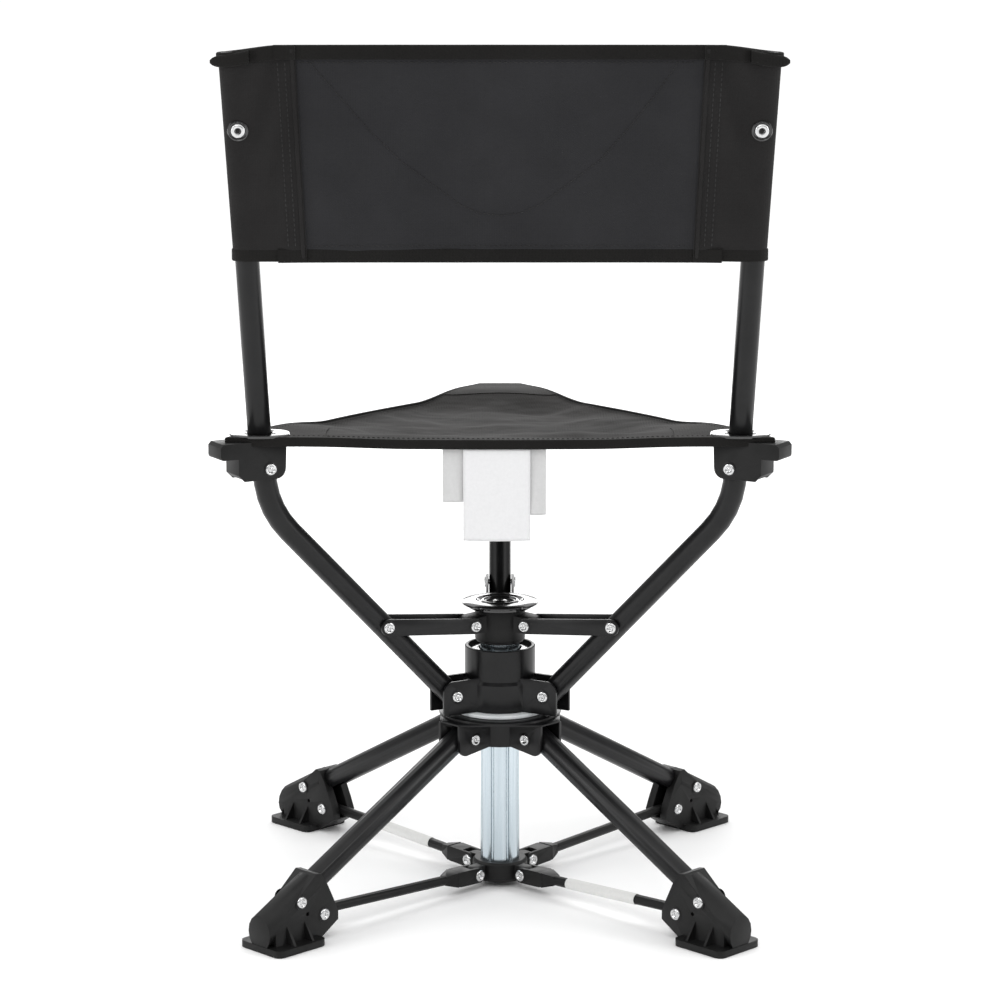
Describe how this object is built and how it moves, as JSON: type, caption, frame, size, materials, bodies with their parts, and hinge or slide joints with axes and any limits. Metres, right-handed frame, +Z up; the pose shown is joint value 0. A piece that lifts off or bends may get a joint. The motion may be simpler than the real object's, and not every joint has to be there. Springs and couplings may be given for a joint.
{
  "type": "folding swivel chair",
  "caption": "Folding swivel field chair: a sling seat on arms that turn on a folding legged base, with a sling backrest on raked tubes.",
  "frame": {"origin": "middle of the bounding box on the ground", "axes": "+Z up; the sitter faces +Y; +X is the sitter's right hand; the backrest is at -Y. The swivel axis is vertical, at x = 0 and y = -0.0251 m."},
  "size_m": [0.5388, 0.5298, 0.83],
  "materials": {
    "powder_coat": "satin black powder coat",
    "moulded_plastic": "matte black moulded plastic",
    "gloss_cap": "gloss black",
    "washer_plastic": "white bearing plastic",
    "zinc": "bluish zinc plating",
    "rivet_steel": "bright plated steel",
    "sling_mesh": "dull black woven sling",
    "label_cloth": "plain white woven label"
  },
  "bodies": {
    "base": {"leg_hub": "powder_coat", "swivel_sleeve": "zinc", "thrust_washer": "washer_plastic", "sleeve_retainer": "zinc", "leg_hinge_rivet_rear_left": "rivet_steel", "leg_hinge_rivet_rear_right": "rivet_steel", "leg_hinge_rivet_front_right": "rivet_steel", "leg_hinge_rivet_front_left": "rivet_steel"},
    "post": {"center_post": "zinc", "bottom_hub": "moulded_plastic", "disc_cap": "gloss_cap", "post_stop_ring": "powder_coat", "stretcher_rivet_rear_left": "rivet_steel", "stretcher_rivet_rear_right": "rivet_steel", "stretcher_rivet_front_right": "rivet_steel", "stretcher_rivet_front_left": "rivet_steel"},
    "leg_rear_left": {"leg_tube_rear_left": "powder_coat", "foot_rear_left": "moulded_plastic", "foot_rivet_rear_left": "rivet_steel"},
    "stretcher_rear_left_body": {"stretcher_rear_left": "moulded_plastic"},
    "leg_rear_right": {"leg_tube_rear_right": "powder_coat", "foot_rear_right": "moulded_plastic", "foot_rivet_rear_right": "rivet_steel"},
    "stretcher_rear_right_body": {"stretcher_rear_right": "moulded_plastic"},
    "leg_front_right": {"leg_tube_front_right": "powder_coat", "foot_front_right": "moulded_plastic", "foot_rivet_front_right": "rivet_steel"},
    "stretcher_front_right_body": {"stretcher_front_right": "moulded_plastic"},
    "leg_front_left": {"leg_tube_front_left": "powder_coat", "foot_front_left": "moulded_plastic", "foot_rivet_front_left": "rivet_steel"},
    "stretcher_front_left_body": {"stretcher_front_left": "moulded_plastic"},
    "seat_hub": {"arm_hub": "powder_coat", "seat_sling": "sling_mesh", "care_tag": "label_cloth", "arm_hinge_rivet_rear_left": "rivet_steel", "arm_hinge_rivet_rear_right": "rivet_steel", "arm_hinge_rivet_front": "rivet_steel"},
    "collar_body": {"collar": "moulded_plastic", "link_rivet_rear_left": "rivet_steel", "link_rivet_rear_right": "rivet_steel", "link_rivet_front": "rivet_steel"},
    "arm_rear_left": {"arm_tube_rear_left": "powder_coat"},
    "link_rear_left_body": {"link_rear_left": "powder_coat"},
    "bracket_rear_left_body": {"bracket_rear_left": "moulded_plastic", "bracket_rivet_rear_left": "rivet_steel", "back_tube_left": "powder_coat", "back_tube_cap_left": "moulded_plastic", "backrest_sling": "sling_mesh"},
    "arm_rear_right": {"arm_tube_rear_right": "powder_coat"},
    "link_rear_right_body": {"link_rear_right": "powder_coat"},
    "bracket_rear_right_body": {"bracket_rear_right": "moulded_plastic", "bracket_rivet_rear_right": "rivet_steel", "back_tube_right": "powder_coat", "back_tube_cap_right": "moulded_plastic"},
    "arm_front": {"arm_tube_front": "powder_coat"},
    "link_front_body": {"link_front": "powder_coat"},
    "bracket_front_body": {"bracket_front": "moulded_plastic", "bracket_rivet_front": "rivet_steel"}
  },
  "joints": [
    {"name": "fold", "type": "slide", "parent": "base", "child": "post", "axis": [0, 0, 1], "range_m": [0, 0.1125], "deforming": ["seat_sling", "backrest_sling"]},
    {"name": "leg_hinge_rear_left", "type": "hinge", "parent": "base", "child": "leg_rear_left", "pos_m": [-0.03415, -0.05928, 0.1553], "axis": [0.7071, -0.7071, 0], "range_deg": [0, 54.08]},
    {"name": "stretcher_hinge_rear_left", "type": "hinge", "parent": "post", "child": "stretcher_rear_left_body", "pos_m": [-0.02602, -0.05114, 0.0144], "axis": [0.7071, -0.7071, 0], "range_deg": [0, 86.84]},
    {"name": "leg_hinge_rear_right", "type": "hinge", "parent": "base", "child": "leg_rear_right", "pos_m": [0.03415, -0.05928, 0.1553], "axis": [0.7071, 0.7071, 0], "range_deg": [0, 54.08]},
    {"name": "stretcher_hinge_rear_right", "type": "hinge", "parent": "post", "child": "stretcher_rear_right_body", "pos_m": [0.02602, -0.05114, 0.0144], "axis": [0.7071, 0.7071, 0], "range_deg": [0, 86.84]},
    {"name": "leg_hinge_front_right", "type": "hinge", "parent": "base", "child": "leg_front_right", "pos_m": [0.03415, 0.00903, 0.1553], "axis": [-0.7071, 0.7071, 0], "range_deg": [0, 54.08]},
    {"name": "stretcher_hinge_front_right", "type": "hinge", "parent": "post", "child": "stretcher_front_right_body", "pos_m": [0.02602, 0.0009, 0.0144], "axis": [-0.7071, 0.7071, 0], "range_deg": [0, 86.84]},
    {"name": "leg_hinge_front_left", "type": "hinge", "parent": "base", "child": "leg_front_left", "pos_m": [-0.03415, 0.00903, 0.1553], "axis": [-0.7071, -0.7071, 0], "range_deg": [0, 54.08]},
    {"name": "stretcher_hinge_front_left", "type": "hinge", "parent": "post", "child": "stretcher_front_left_body", "pos_m": [-0.02602, 0.0009, 0.0144], "axis": [-0.7071, -0.7071, 0], "range_deg": [0, 86.84]},
    {"name": "seat_swivel", "type": "hinge", "parent": "base", "child": "seat_hub", "pos_m": [0, -0.02512, 0.1785], "axis": [0, 0, 1], "continuous": true},
    {"name": "collar_slide", "type": "slide", "parent": "seat_hub", "child": "collar_body", "axis": [0, 0, 1], "range_m": [0, 0.11261]},
    {"name": "arm_hinge_rear_left", "type": "hinge", "parent": "seat_hub", "child": "arm_rear_left", "pos_m": [-0.04832, -0.05302, 0.1968], "axis": [-0.5, 0.866, 0], "range_deg": [0, 25.66]},
    {"name": "link_hinge_rear_left", "type": "hinge", "parent": "collar_body", "child": "link_rear_left_body", "pos_m": [-0.03005, -0.04247, 0.2641], "axis": [0.5, -0.866, 0], "range_deg": [0, 61.18]},
    {"name": "bracket_hinge_rear_left", "type": "hinge", "parent": "arm_rear_left", "child": "bracket_rear_left_body", "pos_m": [-0.21867, -0.15137, 0.4387], "axis": [0.5, -0.866, 0], "range_deg": [0, 25.66]},
    {"name": "arm_hinge_rear_right", "type": "hinge", "parent": "seat_hub", "child": "arm_rear_right", "pos_m": [0.04832, -0.05302, 0.1968], "axis": [-0.5, -0.866, 0], "range_deg": [0, 25.66]},
    {"name": "link_hinge_rear_right", "type": "hinge", "parent": "collar_body", "child": "link_rear_right_body", "pos_m": [0.03005, -0.04247, 0.2641], "axis": [0.5, 0.866, 0], "range_deg": [0, 61.18]},
    {"name": "bracket_hinge_rear_right", "type": "hinge", "parent": "arm_rear_right", "child": "bracket_rear_right_body", "pos_m": [0.21867, -0.15137, 0.4387], "axis": [0.5, 0.866, 0], "range_deg": [0, 25.66]},
    {"name": "arm_hinge_front", "type": "hinge", "parent": "seat_hub", "child": "arm_front", "pos_m": [0, 0.03068, 0.1968], "axis": [1, 0, 0], "range_deg": [0, 25.66]},
    {"name": "link_hinge_front", "type": "hinge", "parent": "collar_body", "child": "link_front_body", "pos_m": [0, 0.00958, 0.2641], "axis": [-1, 0, 0], "range_deg": [0, 61.18]},
    {"name": "bracket_hinge_front", "type": "hinge", "parent": "arm_front", "child": "bracket_front_body", "pos_m": [0, 0.22738, 0.4387], "axis": [-1, 0, 0], "range_deg": [0, 25.66]}
  ],
  "couplings": [
    {"joint": "leg_hinge_rear_left", "follows": "fold", "rad_per_m": 8.3739},
    {"joint": "stretcher_hinge_rear_left", "follows": "fold", "rad_per_m": 13.445},
    {"joint": "leg_hinge_rear_right", "follows": "fold", "rad_per_m": 8.3739},
    {"joint": "stretcher_hinge_rear_right", "follows": "fold", "rad_per_m": 13.445},
    {"joint": "leg_hinge_front_right", "follows": "fold", "rad_per_m": 8.3739},
    {"joint": "stretcher_hinge_front_right", "follows": "fold", "rad_per_m": 13.445},
    {"joint": "leg_hinge_front_left", "follows": "fold", "rad_per_m": 8.3739},
    {"joint": "stretcher_hinge_front_left", "follows": "fold", "rad_per_m": 13.445},
    {"joint": "collar_slide", "follows": "fold", "ratio": 1},
    {"joint": "arm_hinge_rear_left", "follows": "fold", "rad_per_m": 3.9737},
    {"joint": "link_hinge_rear_left", "follows": "fold", "rad_per_m": 9.4719},
    {"joint": "bracket_hinge_rear_left", "follows": "fold", "rad_per_m": 3.9737},
    {"joint": "arm_hinge_rear_right", "follows": "fold", "rad_per_m": 3.9737},
    {"joint": "link_hinge_rear_right", "follows": "fold", "rad_per_m": 9.4719},
    {"joint": "bracket_hinge_rear_right", "follows": "fold", "rad_per_m": 3.9737},
    {"joint": "arm_hinge_front", "follows": "fold", "rad_per_m": 3.9737},
    {"joint": "link_hinge_front", "follows": "fold", "rad_per_m": 9.4719},
    {"joint": "bracket_hinge_front", "follows": "fold", "rad_per_m": 3.9737}
  ]
}
